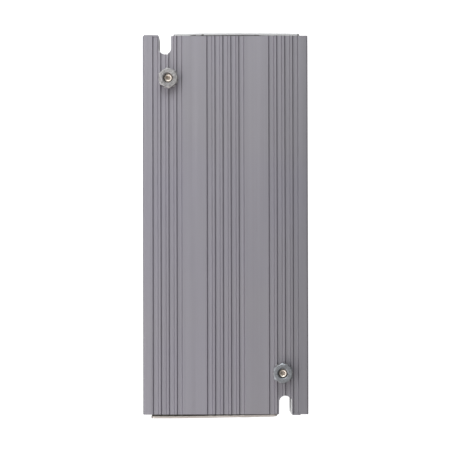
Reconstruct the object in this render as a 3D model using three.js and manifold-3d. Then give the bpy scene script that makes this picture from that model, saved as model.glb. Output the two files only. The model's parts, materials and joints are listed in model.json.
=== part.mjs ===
// Micro inverter: a ribbed aluminium extrusion closed by two screwed end plates, with its power
// electronics in the sealed middle bay and its mounting slots in the open side channels.
//
// Millimetres, +Z up. X runs across the ribs, Y along them. The back face lies on z = 0, the ribbed
// face looks up, and the origin is under the middle of the whole object. The object is the same after
// half a turn about Z, apart from what its two end plates carry and small offsets of the slots, the
// earth bolts and the ribs. Corner A is at -X +Y, corner B at +X -Y.
import * as THREE from "three";
import { mergeVertices } from "three/addons/utils/BufferGeometryUtils.js";
import Module from "manifold-3d";

const wasm = await Module();
wasm.setup();

// ---------------------------------------------------------------- driving dimensions

const WIDTH = 90;
const LENGTH = 206.6;
const DEPTH = 30;
const TOP_WALL = 4;
const BACK_WALL = 3;
const SIDE_WALL = 5;
const BAY_HALF = 26;
const INNER_WALL = 2;
const WEB = { from: 35.5, to: 37.5 }; // a rib down each side channel, which the slots run against
const EDGE_RADIUS = 0.8;

const GROOVE = { pitch: 4.36, mouth: 3.2, floor: 2.15, depth: 1 };
const GROOVE_GROUPS = [
  { x: -31.6, count: 4 },
  { x: 0.13, count: 5 },
  { x: 31.75, count: 4 },
];

// Where the slot and the earth bolt are cut at each corner, from the middle of the extrusion.
const CORNERS = {
  a: { side: 1, slotX: 32.85, earthY: 79.9 },
  b: { side: -1, slotX: 32.4, earthY: 80.8 },
};
const SLOT = { width: 6.6, length: 10.4 };
const EARTH = { x: 31, hole: 3.25 };
const NUT = { acrossFlats: 10, height: 5, bore: 2.57, bevel: 0.55, turn: { a: 5, b: 3 } };
const WASHER = { inner: 3.25, root: 4.75, tip: 5.5, teeth: 12, height: 0.7 };
const BOLT = { head: 5.9, shank: 2.95, thread: 2.48, tip: 1.95, tipHeight: 34.6, bevel: 0.5 };
const BOLT_DIMPLE = { radius: 1.2, depth: 0.8 };
const BOLT_DRIVE = { acrossFlats: 4, depth: 2.3 };

const PLATE = { reach: 40.6, slotEdge: 28.2, low: 0.8, high: 29.2, thickness: 1.2, corner: 1.6 };
const GASKET = { inset: 0.35, ac: 0.3, dc: 0.9, screwRoom: 0.6 };
const GASKET_WINDOW = { halfWidth: 20.5, low: 4, high: 26, corner: 2 };

const PORT = { radius: 2.9, hole: 1.5 };
const BAY_PORT = { x: 24.6, low: 5.6, high: 23.4 };
const CHANNEL_PORT = { x: 37.6, z: 15 };
const END_SCREW = { head: 2.75, shank: 1.4, length: 12, point: 1, driveFlats: 2, driveDepth: 1 };

const LABEL = { width: 40, length: 70, recess: 0.4, thickness: 0.3 };

const BOARD = { width: 53, length: 194, thickness: 1.6, z: 8.8, guide: 1, slack: 0.2 };
const POTTING = { width: 41, length: 188, top: 8.5 };

const DC_SOCKET = { x: 10.5, z: 17.2, body: 6, bore: 4.2, flange: 7.4, length: 20, depth: 14, pin: 1.5 };
const AC_SOCKET = { x: -2, z: 17.6, body: 7, bore: 5.6, flange: 8.2, length: 17, depth: 12, pin: 1.1 };
const SOCKET_FLANGE = 1.6;
const PIN_RECESS = 6; // from the outer face of the plate in to the tip of a contact
const AC_PIN_CIRCLE = 2.9;
const VENT = { x: 15.5, z: 17, neck: 3.6, flange: 4.6, length: 4, dish: 0.6, wall: 0.8 };
const VENT_FLANGE = 1.4;
const LIGHT = { x: 0, z: 17.2, neck: 1.6, flange: 2.3, flangeThickness: 1.2, length: 12 };

const CLEAR = 0.05; // between pieces that touch
const FIT = 0.1; // between a piece and the hole that it passes through
const PAST = 1; // how far a cutter runs on past what it cuts

// ---------------------------------------------------------------- worked-out places

const END = LENGTH / 2;
const BOARD_TOP = BOARD.z + BOARD.thickness;
const SEAT = BOARD_TOP + CLEAR;
const BAY_TOP = DEPTH - TOP_WALL;
const CHANNEL = { from: BAY_HALF + INNER_WALL, to: WIDTH / 2 - SIDE_WALL };
const CENTRE_SHIFT = (GASKET.dc - GASKET.ac) / 2;
const HEX_RADIUS = NUT.acrossFlats / Math.sqrt(3);

// ---------------------------------------------------------------- solids

// A closed three.js geometry as a manifold solid.
function solid(geometry) {
  const bare = geometry.clone();
  bare.deleteAttribute("normal");
  bare.deleteAttribute("uv");
  const merged = mergeVertices(bare, 1e-4);
  const vertProperties = new Float32Array(merged.attributes.position.array);
  const triVerts = new Uint32Array(merged.index.array);
  return new wasm.Manifold(new wasm.Mesh({ numProp: 3, vertProperties, triVerts }));
}

// A manifold solid as a flat-shaded three.js geometry.
function geometryOf(body) {
  const { vertProperties, triVerts, numProp } = body.getMesh();
  const positions = new Float32Array(triVerts.length * 3);
  triVerts.forEach((vertex, i) => {
    positions.set(vertProperties.subarray(vertex * numProp, vertex * numProp + 3), i * 3);
  });
  const geometry = new THREE.BufferGeometry();
  geometry.setAttribute("position", new THREE.BufferAttribute(positions, 3));
  geometry.computeVertexNormals();
  return geometry;
}

const cut = (body, ...tools) => tools.reduce((left, tool) => left.subtract(tool), body);
const join = (...bodies) => bodies.reduce((all, body) => all.add(body));

function extruded(shape, depth, curveSegments = 2) {
  return new THREE.ExtrudeGeometry(shape, { depth, bevelEnabled: false, curveSegments });
}

// An outline in X and Z, extruded from y0 to y1.
function alongY(shape, y0, y1, curveSegments) {
  return solid(extruded(shape, y1 - y0, curveSegments).rotateX(Math.PI / 2).translate(0, y1, 0));
}

// An outline in X and Y, extruded from z0 to z1.
function alongZ(shape, z0, z1, curveSegments) {
  return solid(extruded(shape, z1 - z0, curveSegments).translate(0, 0, z0));
}

function box([x0, x1], [y0, y1], [z0, z1]) {
  const geometry = new THREE.BoxGeometry(x1 - x0, y1 - y0, z1 - z0);
  return solid(geometry.translate((x0 + x1) / 2, (y0 + y1) / 2, (z0 + z1) / 2));
}

// A profile of [radius, height] points, from the axis round to the axis, turned about Z.
function turnedZ(profile, segments = 24) {
  const points = profile.map(([radius, height]) => new THREE.Vector2(radius, height));
  return solid(new THREE.LatheGeometry(points, segments).rotateX(Math.PI / 2));
}

// The same turned about Y, with the heights along +Y.
function turnedY(profile, segments = 16) {
  const points = profile.map(([radius, height]) => new THREE.Vector2(radius, height));
  return solid(new THREE.LatheGeometry(points, segments));
}

const rodZ = (radius, z0, z1, segments) =>
  turnedZ([[0, z0], [radius, z0], [radius, z1], [0, z1]], segments);
const rodY = (radius, y0, y1, segments) =>
  turnedY([[0, y0], [radius, y0], [radius, y1], [0, y1]], segments);

function roundedRect(x0, x1, y0, y1, radius) {
  const shape = new THREE.Shape();
  shape.moveTo(x0 + radius, y0);
  shape.lineTo(x1 - radius, y0);
  shape.absarc(x1 - radius, y0 + radius, radius, -Math.PI / 2, 0);
  shape.lineTo(x1, y1 - radius);
  shape.absarc(x1 - radius, y1 - radius, radius, 0, Math.PI / 2);
  shape.lineTo(x0 + radius, y1);
  shape.absarc(x0 + radius, y1 - radius, radius, Math.PI / 2, Math.PI);
  shape.lineTo(x0, y0 + radius);
  shape.absarc(x0 + radius, y0 + radius, radius, Math.PI, 1.5 * Math.PI);
  return shape;
}

function regularPolygon(sides, radius, phase = 0) {
  const corners = Array.from({ length: sides }, (_, i) => {
    const angle = phase + (i * 2 * Math.PI) / sides;
    return new THREE.Vector2(radius * Math.cos(angle), radius * Math.sin(angle));
  });
  return new THREE.Shape(corners);
}

const hexagon = (acrossFlats) => regularPolygon(6, acrossFlats / Math.sqrt(3), Math.PI / 6);

// ---------------------------------------------------------------- materials and meshes

function finish(color, roughness, metalness) {
  return { color, roughness, metalness };
}

const FINISHES = {
  extrusion: finish(0x94929a, 0.5, 0.85),
  plate: finish(0xb9b4ae, 0.45, 0.7),
  gasket: finish(0x3c3a30, 0.9, 0),
  zinc: finish(0xa3a6a8, 0.35, 0.95),
  yellowZinc: finish(0xb49a6a, 0.3, 0.95),
  blackPlastic: finish(0x1c1d1f, 0.55, 0),
  clearPlastic: finish(0xcfe0d0, 0.2, 0),
  label: finish(0xc9c9c6, 0.5, 0),
  board: finish(0x1f5a36, 0.5, 0),
  potting: finish(0x2b2c2e, 0.8, 0),
  capacitor: finish(0x22252c, 0.4, 0),
  ferrite: finish(0x2e2d2f, 0.7, 0),
  copper: finish(0xb5673a, 0.35, 0.9),
  bobbin: finish(0x8a6d2f, 0.6, 0),
  package: finish(0x18181a, 0.6, 0),
  aluminium: finish(0xb8babd, 0.4, 0.9),
  pad: finish(0x9fb4c4, 0.9, 0),
  steel: finish(0x8d9094, 0.35, 0.95),
  film: finish(0xa8433a, 0.5, 0),
  powderCore: finish(0x557a5c, 0.6, 0),
  relayPlastic: finish(0x2c4a7a, 0.5, 0),
  ceramic: finish(0xd8d2c2, 0.5, 0),
};

function mesh(name, body, finishName) {
  const made = new THREE.Mesh(geometryOf(body), new THREE.MeshStandardMaterial(FINISHES[finishName]));
  made.name = name;
  return made;
}

const inverter = new THREE.Group();
const assembly = new THREE.Group();
assembly.position.y = CENTRE_SHIFT;
inverter.add(assembly);

// ---------------------------------------------------------------- housing extrusion

// The outline of the profile: flat back with a label recess, plain sides, grooved top.
function profileOutline() {
  const half = WIDTH / 2;
  const shape = new THREE.Shape();
  shape.moveTo(-half + EDGE_RADIUS, 0);
  shape.lineTo(-LABEL.width / 2 - LABEL.recess, 0);
  shape.lineTo(-LABEL.width / 2, LABEL.recess);
  shape.lineTo(LABEL.width / 2, LABEL.recess);
  shape.lineTo(LABEL.width / 2 + LABEL.recess, 0);
  shape.lineTo(half - EDGE_RADIUS, 0);
  shape.absarc(half - EDGE_RADIUS, EDGE_RADIUS, EDGE_RADIUS, -Math.PI / 2, 0);
  shape.lineTo(half, DEPTH - EDGE_RADIUS);
  shape.absarc(half - EDGE_RADIUS, DEPTH - EDGE_RADIUS, EDGE_RADIUS, 0, Math.PI / 2);
  for (const x of grooveCentres().reverse()) {
    shape.lineTo(x + GROOVE.mouth / 2, DEPTH);
    shape.lineTo(x + GROOVE.floor / 2, DEPTH - GROOVE.depth);
    shape.lineTo(x - GROOVE.floor / 2, DEPTH - GROOVE.depth);
    shape.lineTo(x - GROOVE.mouth / 2, DEPTH);
  }
  shape.lineTo(-half + EDGE_RADIUS, DEPTH);
  shape.absarc(-half + EDGE_RADIUS, DEPTH - EDGE_RADIUS, EDGE_RADIUS, Math.PI / 2, Math.PI);
  shape.lineTo(-half, EDGE_RADIUS);
  shape.absarc(-half + EDGE_RADIUS, EDGE_RADIUS, EDGE_RADIUS, Math.PI, 1.5 * Math.PI);
  return shape;
}

function grooveCentres() {
  return GROOVE_GROUPS.flatMap(({ x, count }) =>
    Array.from({ length: count }, (_, i) => x + (i - (count - 1) / 2) * GROOVE.pitch),
  );
}

// Where the end screws bite: four ports round the bay, and one on the outer wall of each channel.
function portPlaces() {
  const bay = [-1, 1].flatMap((side) =>
    [BAY_PORT.low, BAY_PORT.high].map((z) => ({ x: side * BAY_PORT.x, z })),
  );
  const channels = [-1, 1].map((side) => ({ x: side * CHANNEL_PORT.x, z: CHANNEL_PORT.z }));
  return [...bay, ...channels];
}

// A slot open at the end of the extrusion, with a round inner end, cut right through. It is drawn
// for corner A, and half a turn brings it to corner B.
function slotCutter({ side, slotX }) {
  const radius = SLOT.width / 2;
  const inner = END - SLOT.length + radius;
  const shape = new THREE.Shape();
  shape.moveTo(-slotX + radius, END + PAST);
  shape.lineTo(-slotX - radius, END + PAST);
  shape.lineTo(-slotX - radius, inner);
  shape.absarc(-slotX, inner, radius, Math.PI, 2 * Math.PI);
  const geometry = extruded(shape, DEPTH + 2 * PAST, 6).translate(0, 0, -PAST);
  return solid(side < 0 ? geometry.rotateZ(Math.PI) : geometry);
}

function earthBoltCutter({ side, earthY }) {
  const place = (geometry) => geometry.translate([-side * EARTH.x, side * earthY, 0]);
  const reach = BOLT.head + FIT;
  const sink = turnedZ([
    [0, -PAST],
    [reach, -PAST],
    [reach, 0],
    [EARTH.hole, reach - EARTH.hole],
    [0, reach - EARTH.hole],
  ]);
  return join(place(sink), place(rodZ(EARTH.hole, -PAST, DEPTH + PAST)));
}

function housing() {
  const through = [-END - PAST, END + PAST];
  const bay = box([-BAY_HALF, BAY_HALF], through, [BACK_WALL, BAY_TOP]);
  const cells = [[CHANNEL.from, WEB.from], [WEB.to, CHANNEL.to]];
  const channels = cells.flatMap(([from, to]) => [
    box([from, to], through, [BACK_WALL, BAY_TOP]),
    box([-to, -from], through, [BACK_WALL, BAY_TOP]),
  ]);
  const ports = portPlaces().map(({ x, z }) =>
    rodY(PORT.radius, -END, END, 16).translate([x, 0, z]),
  );
  const shell = join(cut(alongY(profileOutline(), -END, END, 1), bay, ...channels), ...ports);
  const holes = portPlaces().map(({ x, z }) =>
    rodY(PORT.hole, ...through, 12).translate([x, 0, z]),
  );
  const reach = BAY_HALF + BOARD.guide;
  const guides = box([-reach, reach], through, [BOARD.z - BOARD.slack, BOARD_TOP + BOARD.slack]);
  const slots = Object.values(CORNERS).map(slotCutter);
  const bolts = Object.values(CORNERS).map(earthBoltCutter);
  return cut(shell, ...holes, guides, ...slots, ...bolts);
}

assembly.add(mesh("housing_extrusion", housing(), "extrusion"));

// ---------------------------------------------------------------- earth bolts, washers and nuts

// A countersunk screw from the back face to the ribbed face, with a hollow point.
function earthBolt() {
  const { head, shank, thread, tip, tipHeight, bevel } = BOLT;
  const body = turnedZ([
    [0, CLEAR],
    [head, CLEAR],
    [shank, CLEAR + head - shank],
    [shank, DEPTH - 2 * bevel],
    [thread, DEPTH - bevel],
    [thread, tipHeight - bevel],
    [tip, tipHeight],
    [BOLT_DIMPLE.radius, tipHeight],
    [0, tipHeight - BOLT_DIMPLE.depth],
  ]);
  return cut(body, alongZ(hexagon(BOLT_DRIVE.acrossFlats), -PAST, CLEAR + BOLT_DRIVE.depth));
}

// An external-tooth lock washer, held captive under the nut.
function earthWasher() {
  const corners = Array.from({ length: WASHER.teeth * 4 }, (_, i) => {
    const radius = i % 4 < 2 ? WASHER.tip : WASHER.root;
    const angle = ((i + 0.5) * Math.PI) / (WASHER.teeth * 2);
    return new THREE.Vector2(radius * Math.cos(angle), radius * Math.sin(angle));
  });
  const ring = alongZ(new THREE.Shape(corners), DEPTH + CLEAR, DEPTH + CLEAR + WASHER.height);
  return cut(ring, rodZ(WASHER.inner, DEPTH - PAST, DEPTH + WASHER.height + PAST));
}

const NUT_LOW = DEPTH + 2 * CLEAR + WASHER.height;
const NUT_HIGH = NUT_LOW + NUT.height;

// A chamfered hexagon nut. Its corners point along Y before its turn.
function earthNut(turn) {
  const prism = extruded(hexagon(NUT.acrossFlats), NUT.height).translate(0, 0, NUT_LOW);
  const blank = solid(prism.rotateZ((turn * Math.PI) / 180));
  const flatRadius = NUT.acrossFlats / 2 - 0.2;
  const cornerRadius = HEX_RADIUS + 0.01;
  const drop = (cornerRadius - flatRadius) * Math.tan(Math.PI / 6);
  const chamfered = turnedZ([
    [0, NUT_LOW],
    [flatRadius, NUT_LOW],
    [cornerRadius, NUT_LOW + drop],
    [cornerRadius, NUT_HIGH - drop],
    [flatRadius, NUT_HIGH],
    [0, NUT_HIGH],
  ]);
  const mouth = NUT.bore + NUT.bevel;
  const bore = turnedZ([
    [0, NUT_LOW - PAST],
    [mouth, NUT_LOW - PAST],
    [mouth, NUT_LOW],
    [NUT.bore, NUT_LOW + NUT.bevel],
    [NUT.bore, NUT_HIGH - NUT.bevel],
    [mouth, NUT_HIGH],
    [mouth, NUT_HIGH + PAST],
    [0, NUT_HIGH + PAST],
  ]);
  return cut(blank.intersect(chamfered), bore);
}

for (const [corner, { side, earthY }] of Object.entries(CORNERS)) {
  const station = new THREE.Group();
  station.position.set(-side * EARTH.x, side * earthY, 0);
  station.add(mesh(`earth_bolt_${corner}`, earthBolt(), "yellowZinc"));
  station.add(mesh(`earth_washer_${corner}`, earthWasher(), "zinc"));
  station.add(mesh(`earth_nut_${corner}`, earthNut(NUT.turn[corner]), "zinc"));
  assembly.add(station);
}

// ---------------------------------------------------------------- end plates

// One end in its own frame: y = 0 is the end face of the extrusion, +Y looks out, and the slot is
// on the -X side. The DC end is the same frame after half a turn about Z.
function endFrame(direction) {
  const frame = new THREE.Group();
  frame.position.y = direction * END;
  frame.rotation.z = direction > 0 ? 0 : Math.PI;
  assembly.add(frame);
  return frame;
}

function plateOutline(inset) {
  const low = PLATE.low + inset;
  const high = PLATE.high - inset;
  return roundedRect(-PLATE.slotEdge + inset, PLATE.reach - inset, low, high, PLATE.corner);
}

// The five screws of one end: the far-side channel port is the one on the +X side.
function endScrewPlaces() {
  return portPlaces().filter(({ x }) => x > -PLATE.slotEdge);
}

function endScrew(outerFace) {
  const { head, shank, length, point, driveFlats, driveDepth } = END_SCREW;
  const body = turnedY([
    [0, outerFace - length],
    [shank - point / 2, outerFace - length],
    [shank, outerFace - length + point],
    [shank, outerFace - (head - shank)],
    [head, outerFace],
    [0, outerFace],
  ], 14);
  return cut(body, alongY(hexagon(driveFlats), outerFace - driveDepth, outerFace + PAST));
}

function plate(gasketThickness, holes) {
  const inner = gasketThickness + CLEAR;
  const outer = gasketThickness + PLATE.thickness;
  const sinks = endScrewPlaces().map(({ x, z }) => {
    const wide = END_SCREW.head + FIT;
    const narrow = wide - (outer - inner);
    const sink = turnedY([
      [0, inner - PAST],
      [narrow, inner - PAST],
      [narrow, inner],
      [wide, outer],
      [wide, outer + PAST],
      [0, outer + PAST],
    ], 16);
    return sink.translate([x, 0, z]);
  });
  const windows = holes.map(({ x, z, radius }) =>
    rodY(radius + FIT, inner - PAST, outer + PAST, 20).translate([x, 0, z]),
  );
  return cut(alongY(plateOutline(0), inner, outer), ...sinks, ...windows);
}

function gasket(thickness) {
  const { halfWidth, low, high, corner } = GASKET_WINDOW;
  const through = [-PAST, thickness + PAST];
  const window = alongY(roundedRect(-halfWidth, halfWidth, low, high, corner), ...through);
  const holes = endScrewPlaces().map(({ x, z }) =>
    rodY(END_SCREW.shank + GASKET.screwRoom, ...through, 12).translate([x, 0, z]),
  );
  return cut(alongY(plateOutline(GASKET.inset), CLEAR, thickness), window, ...holes);
}

// A moulded socket, flush with the plate, held by a flange behind it and closed at its rear.
function socketBody({ body, bore, flange, length, depth }, innerFace, outerFace) {
  const rear = outerFace - length;
  const bevel = 0.8;
  return turnedY([
    [0, rear],
    [body - bevel, rear],
    [body, rear + bevel],
    [body, innerFace - SOCKET_FLANGE],
    [flange, innerFace - SOCKET_FLANGE],
    [flange, innerFace],
    [body, innerFace],
    [body, outerFace],
    [bore, outerFace],
    [bore, outerFace - depth],
    [0, outerFace - depth],
  ], 20);
}

// A round contact with a solder tail that drops to the board.
function contactPin(radius, tipY, rearY, drop) {
  const pin = turnedY([
    [0, rearY],
    [radius, rearY],
    [radius, tipY - radius / 2],
    [radius / 2, tipY],
    [0, tipY],
  ], 12);
  const half = radius * 0.6;
  return join(pin, box([-half, half], [rearY, rearY + 2 * half], [-drop, 0]));
}

// A pressure vent: a short plug with a dished face, held by a flange behind the plate.
function ventPlug(innerFace, outerFace) {
  const { neck, flange, length, dish, wall } = VENT;
  const bevel = 0.4;
  return turnedY([
    [0, innerFace - length],
    [neck - bevel, innerFace - length],
    [neck, innerFace - length + bevel],
    [neck, innerFace - VENT_FLANGE],
    [flange, innerFace - VENT_FLANGE],
    [flange, innerFace],
    [neck, innerFace],
    [neck, outerFace],
    [neck - wall, outerFace],
    [neck - wall, outerFace - dish],
    [0, outerFace - dish],
  ]);
}

// A clear rod that carries the light of an indicator out to the plate's face.
function lightPipe(innerFace, outerFace) {
  const { neck, flange, flangeThickness, length } = LIGHT;
  return turnedY([
    [0, outerFace - length],
    [neck, outerFace - length],
    [neck, innerFace - flangeThickness],
    [flange, innerFace - flangeThickness],
    [flange, innerFace],
    [neck, innerFace],
    [neck, outerFace],
    [0, outerFace],
  ], 16);
}

function buildEnd(kind, direction, fittings) {
  const frame = endFrame(direction);
  const thickness = GASKET[kind];
  const outer = thickness + PLATE.thickness;
  const inner = thickness;
  const add = (piece, x = 0, z = 0) => {
    piece.position.set(x, 0, z);
    frame.add(piece);
  };
  add(mesh(`gasket_${kind}`, gasket(thickness), "gasket"));
  const holes = fittings(add, inner, outer);
  add(mesh(`end_plate_${kind}`, plate(thickness, holes), "plate"));
  endScrewPlaces().forEach(({ x, z }, i) => {
    add(mesh(`end_screw_${kind}_${i + 1}`, endScrew(outer), "zinc"), x, z);
  });
}

// AC end: one three-pole socket and the pressure vent.
buildEnd("ac", 1, (add, inner, outer) => {
  const { x, z, pin, length } = AC_SOCKET;
  const places = [90, 210, 330].map((degrees) => {
    const angle = (degrees * Math.PI) / 180;
    return [AC_PIN_CIRCLE * Math.cos(angle), AC_PIN_CIRCLE * Math.sin(angle)];
  });
  const bores = places.map(([dx, dz]) =>
    rodY(pin + FIT, outer - length - PAST, outer, 12).translate([dx, 0, dz]),
  );
  add(mesh("ac_socket", cut(socketBody(AC_SOCKET, inner, outer), ...bores), "blackPlastic"), x, z);
  ["earth", "neutral", "live"].forEach((pole, i) => {
    const [dx, dz] = places[i];
    const rear = outer - length - 2 - i;
    const contact = contactPin(pin, outer - PIN_RECESS, rear, z + dz - SEAT);
    add(mesh(`ac_pin_${pole}`, contact, "yellowZinc"), x + dx, z + dz);
  });
  add(mesh("vent_plug", ventPlug(inner, outer), "blackPlastic"), VENT.x, VENT.z);
  return [
    { x, z, radius: AC_SOCKET.body },
    { x: VENT.x, z: VENT.z, radius: VENT.neck },
  ];
});

// DC end: a socket for each pole of the panel, and the status light between them.
buildEnd("dc", -1, (add, inner, outer) => {
  const { x, z, pin, body, length } = DC_SOCKET;
  const poles = [["positive", -x], ["negative", x]];
  const rearHole = rodY(pin + FIT, outer - length - PAST, outer, 16);
  for (const [pole, place] of poles) {
    const socket = cut(socketBody(DC_SOCKET, inner, outer), rearHole);
    add(mesh(`dc_socket_${pole}`, socket, "blackPlastic"), place, z);
    const contact = contactPin(pin, outer - PIN_RECESS, outer - length - 3, z - SEAT);
    add(mesh(`dc_pin_${pole}`, contact, "yellowZinc"), place, z);
  }
  add(mesh("status_light_pipe", lightPipe(inner, outer), "clearPlastic"), LIGHT.x, LIGHT.z);
  return [
    ...poles.map(([, place]) => ({ x: place, z, radius: body })),
    { x: LIGHT.x, z: LIGHT.z, radius: LIGHT.neck },
  ];
});

// ---------------------------------------------------------------- rating label

function label() {
  const half = LABEL.width / 2 - 1;
  const outline = roundedRect(-half, half, -LABEL.length / 2, LABEL.length / 2, 2);
  const top = LABEL.recess - CLEAR;
  return alongZ(outline, top - LABEL.thickness, top);
}

assembly.add(mesh("rating_label", label(), "label"));

// ---------------------------------------------------------------- boards and potting

function mainBoard() {
  const half = BOARD.length / 2;
  return box([-BOARD.width / 2, BOARD.width / 2], [-half, half], [BOARD.z, BOARD_TOP]);
}

function potting() {
  const half = POTTING.length / 2;
  const outline = roundedRect(-POTTING.width / 2, POTTING.width / 2, -half, half, 2);
  return alongZ(outline, BACK_WALL + CLEAR, POTTING.top);
}

const CONTROL_BOARD = { y: 62, halfWidth: 18, thickness: 1.2, height: 13, raised: 1.5 };
const HEADER = { halfWidth: 12, height: 2.5, overhang: 1.2 };
const PROCESSOR = { halfWidth: 5, thickness: 1.4, low: 4.5, high: 12 };

function controlBoard() {
  const { y, halfWidth, thickness, height, raised } = CONTROL_BOARD;
  const face = y + thickness;
  const wide = (half) => [-half, half];
  return join(
    box(wide(halfWidth), [y, face], [SEAT + raised, SEAT + height]),
    box(wide(HEADER.halfWidth), [y - HEADER.overhang, face + HEADER.overhang], [SEAT, SEAT + HEADER.height]),
    box(
      wide(PROCESSOR.halfWidth),
      [face - FIT, face + PROCESSOR.thickness],
      [SEAT + PROCESSOR.low, SEAT + PROCESSOR.high],
    ),
  );
}

assembly.add(
  mesh("main_board", mainBoard(), "board"),
  mesh("potting_compound", potting(), "potting"),
  mesh("control_board", controlBoard(), "board"),
);

// ---------------------------------------------------------------- input capacitors

const CAPACITOR = { radius: 7, height: 15, y: -62, pitchX: 15.4, pitchY: 16 };

// A can with a rolled groove near its foot and a rounded shoulder.
function capacitor() {
  const { radius, height } = CAPACITOR;
  return turnedZ([
    [0, 0],
    [radius, 0],
    [radius, 1.2],
    [radius - 0.6, 1.7],
    [radius, 2.2],
    [radius, height - 0.8],
    [radius - 0.8, height],
    [0, height],
  ], 20);
}

[-0.5, 0.5].forEach((row, j) => {
  [-0.5, 0.5].forEach((column, i) => {
    const can = mesh(`input_capacitor_${2 * j + i + 1}`, capacitor(), "capacitor");
    can.position.set(column * CAPACITOR.pitchX, CAPACITOR.y + row * CAPACITOR.pitchY, SEAT);
    assembly.add(can);
  });
});

// ---------------------------------------------------------------- transformer

const CORE = { width: 36, depth: 20, half: 7.2, base: 3.6, outerLeg: 5, centreLeg: 11 };
const BOBBIN = { tube: 0.9, flange: 0.8, halfX: 12.7, halfY: 18, gap: 0.2 };

function transformer() {
  const group = new THREE.Group();
  const middle = CORE.half + CLEAR / 2;
  const leg = CORE.half - CORE.base;
  const lowerHalf = () => {
    const shape = new THREE.Shape();
    const half = CORE.width / 2;
    const window = half - CORE.outerLeg;
    const centre = CORE.centreLeg / 2;
    const corners = [
      [-half, 0], [half, 0], [half, CORE.half], [window, CORE.half], [window, CORE.base],
      [centre, CORE.base], [centre, CORE.half], [-centre, CORE.half], [-centre, CORE.base],
      [-window, CORE.base], [-window, CORE.half], [-half, CORE.half],
    ];
    shape.setFromPoints(corners.map(([x, z]) => new THREE.Vector2(x, z)));
    return alongY(shape, -CORE.depth / 2, CORE.depth / 2);
  };
  const lower = mesh("transformer_core_lower", lowerHalf(), "ferrite");
  const upper = mesh("transformer_core_upper", lowerHalf(), "ferrite");
  upper.rotation.y = Math.PI;
  upper.position.z = 2 * CORE.half + CLEAR;
  const innerX = CORE.centreLeg / 2 + BOBBIN.gap;
  const innerY = CORE.depth / 2 + BOBBIN.gap;
  const tubeX = innerX + BOBBIN.tube;
  const tubeY = innerY + BOBBIN.tube;
  const reach = leg - FIT;
  const block = (x, y, z0, z1, radius) =>
    alongZ(roundedRect(-x, x, -y, y, radius), middle + z0, middle + z1, 3);
  const bobbin = cut(
    join(
      block(BOBBIN.halfX, BOBBIN.halfY, -reach, -reach + BOBBIN.flange, 2),
      block(tubeX, tubeY, -reach, reach, 0.5),
      block(BOBBIN.halfX, BOBBIN.halfY, reach - BOBBIN.flange, reach, 2),
    ),
    block(innerX, innerY, -reach - PAST, reach + PAST, 0.2),
  );
  const inside = reach - BOBBIN.flange - CLEAR;
  const winding = cut(
    block(BOBBIN.halfX - 0.4, BOBBIN.halfY - 0.6, -inside, inside, 4),
    block(tubeX + CLEAR, tubeY + CLEAR, -inside - PAST, inside + PAST, 0.5),
  );
  group.add(
    lower,
    upper,
    mesh("transformer_bobbin", bobbin, "bobbin"),
    mesh("transformer_winding", winding, "copper"),
  );
  return group;
}

const transformerGroup = transformer();
transformerGroup.position.set(0, -24, SEAT);
assembly.add(transformerGroup);

// ---------------------------------------------------------------- transistors on their heat spreader

const SPREADER = { y: 6, web: 4, foot: 14, footHeight: 4, halfX: 20, top: BAY_TOP - 0.5 };
const TRANSISTOR = { width: 10, thickness: 4.4, height: 12, inner: 6.4, outer: 16.5, raised: 1.6 };
const LEAD = { pitch: 2.54, halfWidth: 0.4, halfThickness: 0.3, length: 1.5 };
const CLAMP = { halfX: 20, low: 4.5, high: 9.5, thickness: 1.5, screwZ: 7, hole: 1.3 };
const CLAMP_SCREW = { head: 2.3, headHeight: 2, shank: 1.15, inWeb: 3.5 };

function heatSpreader() {
  const { y, web, foot, footHeight, halfX, top } = SPREADER;
  const body = join(
    box([-halfX, halfX], [y, y + web], [SEAT, top]),
    box([-halfX, halfX], [y, y + foot], [top - footHeight, top]),
  );
  const hole = rodY(CLAMP.hole, y - PAST, y + web + PAST, 12);
  return cut(body, hole.translate([0, 0, SEAT + CLAMP.screwZ]));
}

function transistor() {
  const { width, thickness, height } = TRANSISTOR;
  const body = alongY(roundedRect(-width / 2, width / 2, 0, height, 0.4), 0, thickness, 2);
  const middle = thickness / 2;
  const leads = [-LEAD.pitch, 0, LEAD.pitch].map((x) =>
    box(
      [x - LEAD.halfWidth, x + LEAD.halfWidth],
      [middle - LEAD.halfThickness, middle + LEAD.halfThickness],
      [-LEAD.length, FIT],
    ),
  );
  return join(body, ...leads);
}

const TRANSISTOR_FACE = SPREADER.y - CLEAR - TRANSISTOR.thickness;
[-TRANSISTOR.outer, -TRANSISTOR.inner, TRANSISTOR.inner, TRANSISTOR.outer].forEach((x, i) => {
  const part = mesh(`power_transistor_${i + 1}`, transistor(), "package");
  part.position.set(x, TRANSISTOR_FACE, SEAT + TRANSISTOR.raised);
  assembly.add(part);
});

function clampBar() {
  const { halfX, low, high, thickness } = CLAMP;
  const bar = alongY(roundedRect(-halfX, halfX, SEAT + low, SEAT + high, 1), -thickness, -CLEAR, 2);
  const hole = rodY(CLAMP.hole, -thickness - PAST, PAST, 12).translate([0, 0, SEAT + CLAMP.screwZ]);
  return cut(bar, hole).translate([0, TRANSISTOR_FACE, 0]);
}

function clampScrew() {
  const { head, headHeight, shank, inWeb } = CLAMP_SCREW;
  const face = TRANSISTOR_FACE - CLAMP.thickness - CLEAR;
  const bevel = 0.3;
  const screw = turnedY([
    [0, face - headHeight],
    [head - bevel, face - headHeight],
    [head, face - headHeight + 2 * bevel],
    [head, face],
    [shank, face],
    [shank, SPREADER.y + inWeb],
    [0, SPREADER.y + inWeb],
  ], 12);
  return screw.translate([0, 0, SEAT + CLAMP.screwZ]);
}

const PAD = { height: 0.4, inset: 1 };

function thermalPad() {
  const { y, foot, halfX, top } = SPREADER;
  const x = halfX - PAD.inset;
  return box([-x, x], [y + PAD.inset, y + foot - PAD.inset], [top + CLEAR, top + CLEAR + PAD.height]);
}

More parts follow.
